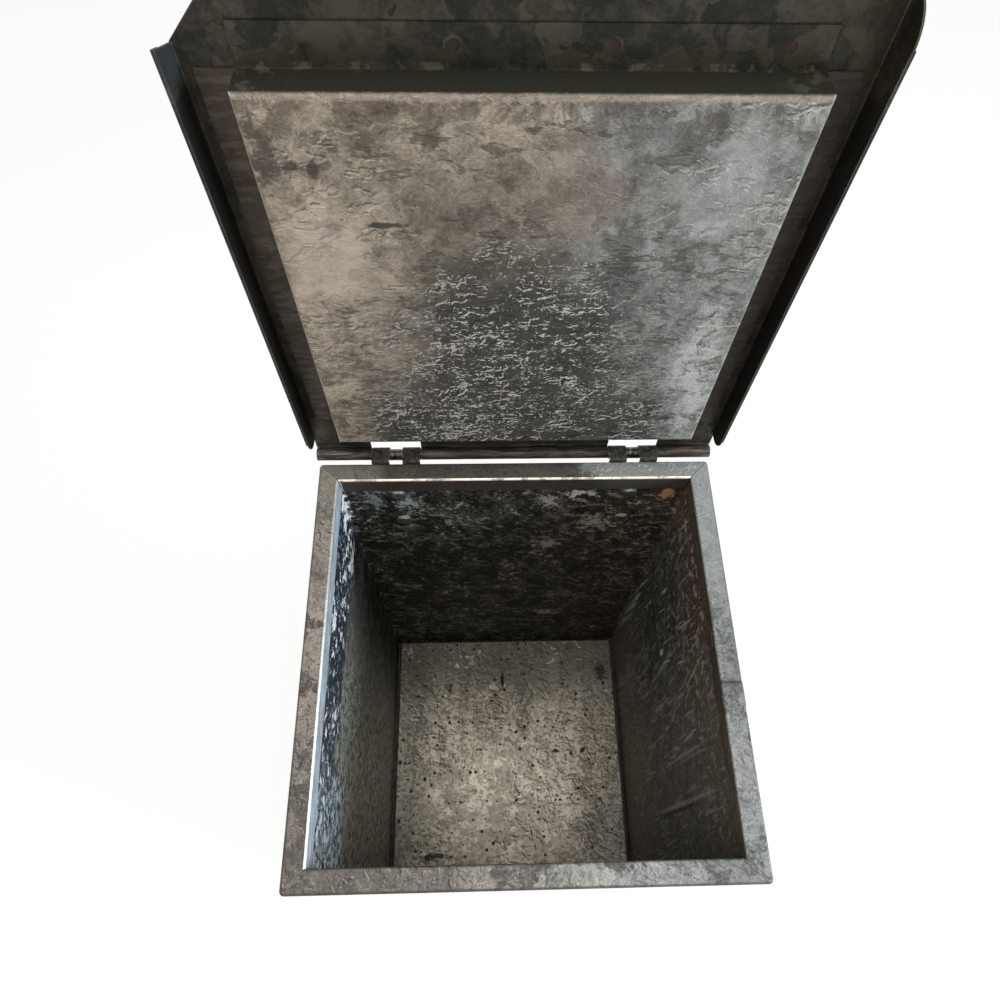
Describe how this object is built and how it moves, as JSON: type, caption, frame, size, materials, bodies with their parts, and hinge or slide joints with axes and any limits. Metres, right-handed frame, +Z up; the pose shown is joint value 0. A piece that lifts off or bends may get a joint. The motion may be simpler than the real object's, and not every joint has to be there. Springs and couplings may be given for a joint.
{
  "type": "insulated milk delivery box",
  "caption": "Square double-walled porch box of galvanized sheet steel for glass milk bottles, with a hinged lid that carries an insulated plug.",
  "frame": {"origin": "centre of the underside of the bottom pan", "axes": "+Z up, +X to the right seen from the front, +Y to the back, where the hinge is"},
  "size_m": [0.2588, 0.2772, 0.639],
  "materials": {
    "galvanized_shell": "weathered galvanized spangle",
    "galvanized_liner": "dull dark galvanized, scratched",
    "galvanized_floor": "worn galvanized, pitted",
    "galvanized_cover": "dark weathered galvanized spangle",
    "galvanized_pan": "satin galvanized, stained",
    "hinge_steel": "dull galvanized",
    "hinge_wire": "worn wire",
    "rivet_steel": "dull galvanized",
    "insulation_board": "felted fibre board"
  },
  "bodies": {
    "box": {"base_pan": "galvanized_shell", "outer_shell": "galvanized_shell", "liner_wrap": "galvanized_liner", "liner_floor": "galvanized_floor", "insulation_front": "insulation_board", "insulation_back": "insulation_board", "insulation_left": "insulation_board", "insulation_right": "insulation_board", "insulation_floor": "insulation_board", "hinge_leaf_left": "hinge_steel", "hinge_leaf_right": "hinge_steel", "hinge_rivets": "rivet_steel"},
    "lid": {"lid_cover": "galvanized_cover", "lid_pan": "galvanized_pan", "lid_insulation": "insulation_board", "hinge_pin": "hinge_wire"}
  },
  "joints": [
    {"name": "lid_hinge", "type": "hinge", "parent": "box", "child": "lid", "pos_m": [0, 0.1356, 0.35178], "axis": [1, 0, 0], "range_deg": [-178, 92]}
  ]
}
